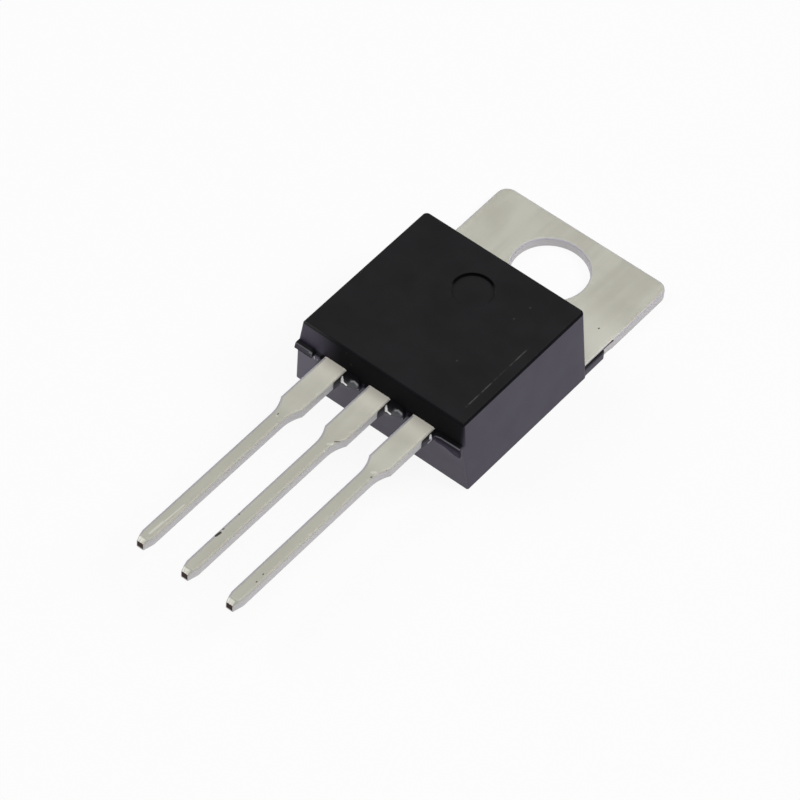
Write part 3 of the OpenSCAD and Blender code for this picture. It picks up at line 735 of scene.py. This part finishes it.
def lay_floor():
    """A wide white floor just under the object. It looks white, and keeps a faint shadow."""
    half, z = 2.0, -0.02 * MM
    mesh = bpy.data.meshes.new("floor")
    corners = [(-half, -half, z), (half, -half, z), (half, half, z), (-half, half, z)]
    mesh.from_pydata(corners, [], [(0, 1, 2, 3)])
    floor = bpy.data.objects.new("floor", mesh)
    bpy.context.collection.objects.link(floor)
    finish = bpy.data.materials.new("white_floor")
    finish.use_nodes = True
    finish.node_tree.nodes.clear()
    root = Wire(finish.node_tree)
    seen = most(*[root.node("ShaderNodeLightPath", {}, {}, name)
                  for name in ("Is Camera Ray", "Is Glossy Ray", "Is Transmission Ray")])
    plain = root.node("ShaderNodeBsdfDiffuse", {}, {"Color": (0.86, 0.86, 0.86, 1)})
    white = root.node("ShaderNodeEmission", {}, {"Color": (1, 1, 1, 1), "Strength": 1.0})
    surface = root.node("ShaderNodeMixShader", {}, {0: seen * 0.9, 1: plain, 2: white})
    root.node("ShaderNodeOutputMaterial", {}, {"Surface": surface})
    mesh.materials.append(finish)


def set_room_light(level):
    """An even, dim room."""
    room = bpy.data.worlds.new("room")
    bpy.context.scene.world = room
    room.use_nodes = True
    back = room.node_tree.nodes["Background"]
    back.inputs["Color"].default_value = (level, level, level, 1)


def way_to(azimuth, elevation):
    """The direction of a place seen from the object: azimuth 0 is in front, 90 on the right."""
    a, e = math.radians(azimuth), math.radians(elevation)
    return Vector((math.sin(a) * math.cos(e), -math.cos(a) * math.cos(e), math.sin(e)))


def hang_lamp(name, azimuth, elevation, distance, size, level):
    """A soft square lamp that faces the object and lights a white face turned to it up to `level`."""
    way = way_to(azimuth, elevation)
    data = bpy.data.lights.new(name, "AREA")
    data.size = size
    data.energy = level * (math.pi * distance) ** 2
    lamp = bpy.data.objects.new(name, data)
    bpy.context.collection.objects.link(lamp)
    lamp.location = AIM + way * distance
    lamp.rotation_euler = way.to_track_quat("Z", "Y").to_euler()
    lamp.visible_camera = False


def place_camera(azimuth, elevation, roll, distance, lens):
    """Looks at AIM from the given side and height, tilted by `roll`."""
    back = way_to(azimuth, elevation)
    level = Vector((0, 0, 1)).cross(back).normalized()
    rise = back.cross(level)
    r = math.radians(roll)
    right = math.cos(r) * level + math.sin(r) * rise
    up = math.cos(r) * rise - math.sin(r) * level
    data = bpy.data.cameras.new("camera")
    data.lens = lens
    data.sensor_width = 36
    data.clip_start = 0.01
    camera = bpy.data.objects.new("camera", data)
    bpy.context.collection.objects.link(camera)
    turn = Matrix((right, up, back)).transposed().to_4x4()
    camera.matrix_world = Matrix.Translation(AIM + back * distance) @ turn
    bpy.context.scene.camera = camera


AIM = Vector((0.402, -11.70, 2.0)) * MM
place_camera(azimuth=35.98, elevation=50.60, roll=4.00, distance=207.06 * MM, lens=207.6)
lay_floor()
set_room_light(0.18)
hang_lamp("left_lamp", azimuth=-68, elevation=45, distance=0.5, size=0.3, level=0.34)
hang_lamp("right_lamp", azimuth=125, elevation=50, distance=0.5, size=0.3, level=0.5)
hang_lamp("camera_lamp", azimuth=40, elevation=58, distance=0.6, size=0.4, level=0.22)
bpy.context.scene.view_settings.view_transform = "Standard"

FINISHES = {
    "mould_resin": resin_finish(),
    "tinned_strip": plating_finish(),
    "silicon": plain_finish("polished_silicon", (0.09, 0.1, 0.13), (0.12, 0.13, 0.17), 0.3, 0.12),
    "solder": plain_finish("soft_solder", (0.42, 0.42, 0.44), (0.55, 0.55, 0.57), 0.8, 0.4),
    "bond_wire": plain_finish("drawn_wire", (0.74, 0.74, 0.72), (0.83, 0.83, 0.81), 0.9, 0.22),
}
for part in frame["record"]["subparts"]:
    for slot in frame["nodes"][part["node"]].material_slots:
        slot.material = FINISHES[part["material_slot"]]

add_piece("moulded_body", [body_skin(), *bars(), *tongues(), *webs()], "mould_body")
add_piece("resin_in_left_notch", [notch_resin(-1)], "left_notch_resin")
add_piece("resin_in_right_notch", [notch_resin(1)], "right_notch_resin")
add_piece("tab_pad_and_centre_lead", [tab(), pad_and_centre_lead()], "tab_and_centre_lead")
add_piece("left_outer_lead", [outer_lead(-1)], "left_lead")
add_piece("right_outer_lead", [outer_lead(1)], "right_lead")
